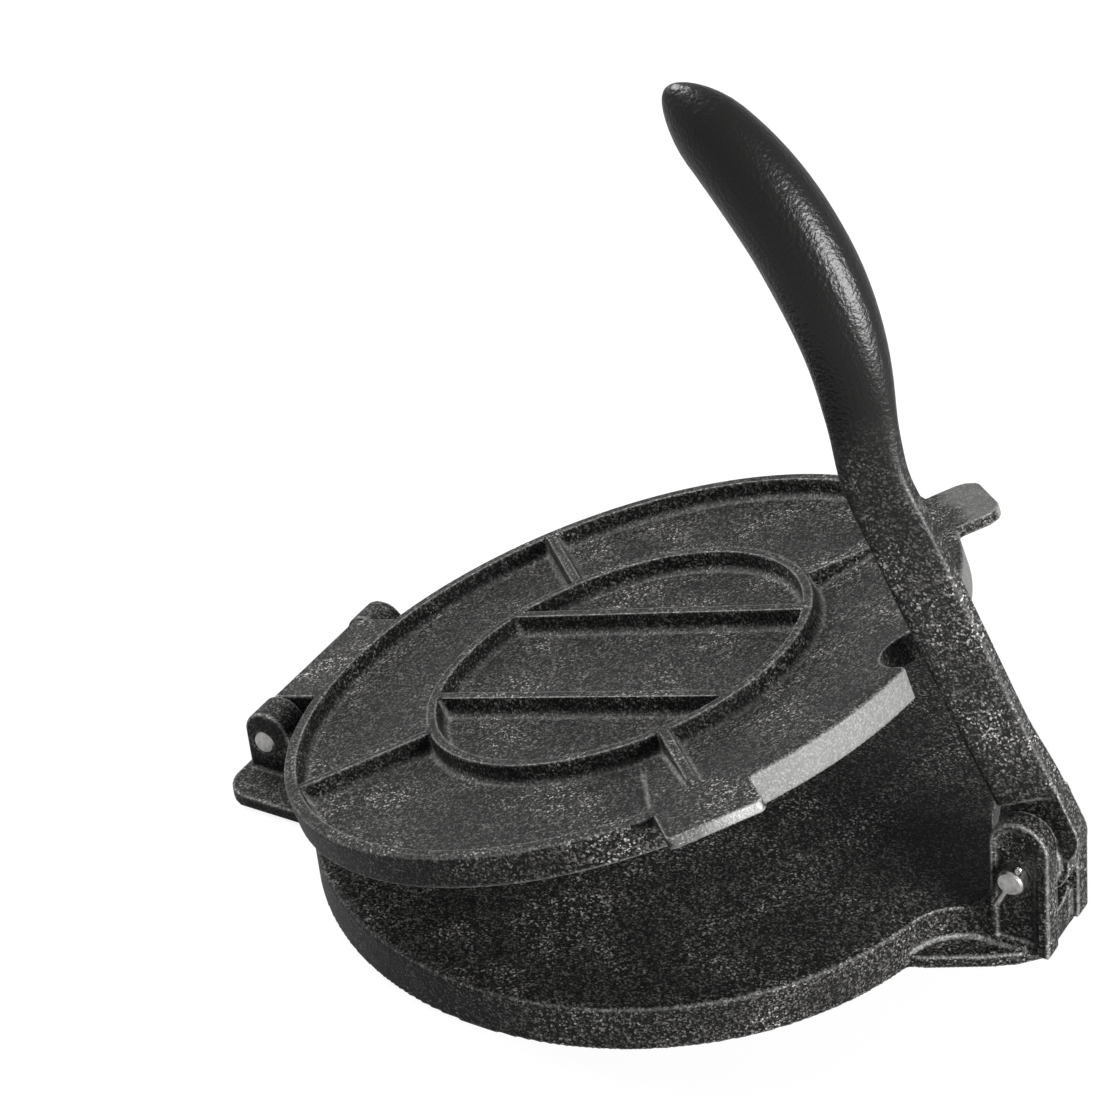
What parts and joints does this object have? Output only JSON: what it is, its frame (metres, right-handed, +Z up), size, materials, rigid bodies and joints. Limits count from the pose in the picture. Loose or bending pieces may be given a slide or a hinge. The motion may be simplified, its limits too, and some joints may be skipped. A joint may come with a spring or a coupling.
{
  "type": "tortilla press",
  "caption": "Cast-iron tortilla press with a round base, a hinged ribbed upper plate and a curved lever pivoted in a clevis, standing part-open.",
  "frame": {"origin": "centre of the base's round platen, on the table", "axes": "+X from the hinge to the lever, +Z up, +Y to the far side of the lever"},
  "size_m": [0.3306, 0.26, 0.3089],
  "materials": {
    "base_iron": "seasoned sand casting",
    "plate_iron": "seasoned sand casting",
    "lever_iron": "seasoned sand casting",
    "pin_steel": "zinc plated",
    "split_steel": "zinc plated"
  },
  "bodies": {
    "base": {"base_plate": "base_iron", "hinge_pin": "pin_steel", "lever_pin": "pin_steel", "split_pin_front": "split_steel", "split_pin_rear": "split_steel"},
    "plate": {"upper_plate": "plate_iron"},
    "lever": {"lever": "lever_iron"}
  },
  "joints": [
    {"name": "plate_hinge", "type": "hinge", "parent": "base", "child": "plate", "pos_m": [-0.1482, 0, 0.0185], "axis": [0, -1, 0], "range_deg": [-17, 44]},
    {"name": "lever_swing", "type": "hinge", "parent": "base", "child": "lever", "pos_m": [0.1535, 0, 0.0363], "axis": [0, -1, 0], "range_deg": [-88, 34]}
  ],
  "couplings": [
    {"joint": "lever_swing", "follows": "plate_hinge", "ratio": -2}
  ]
}
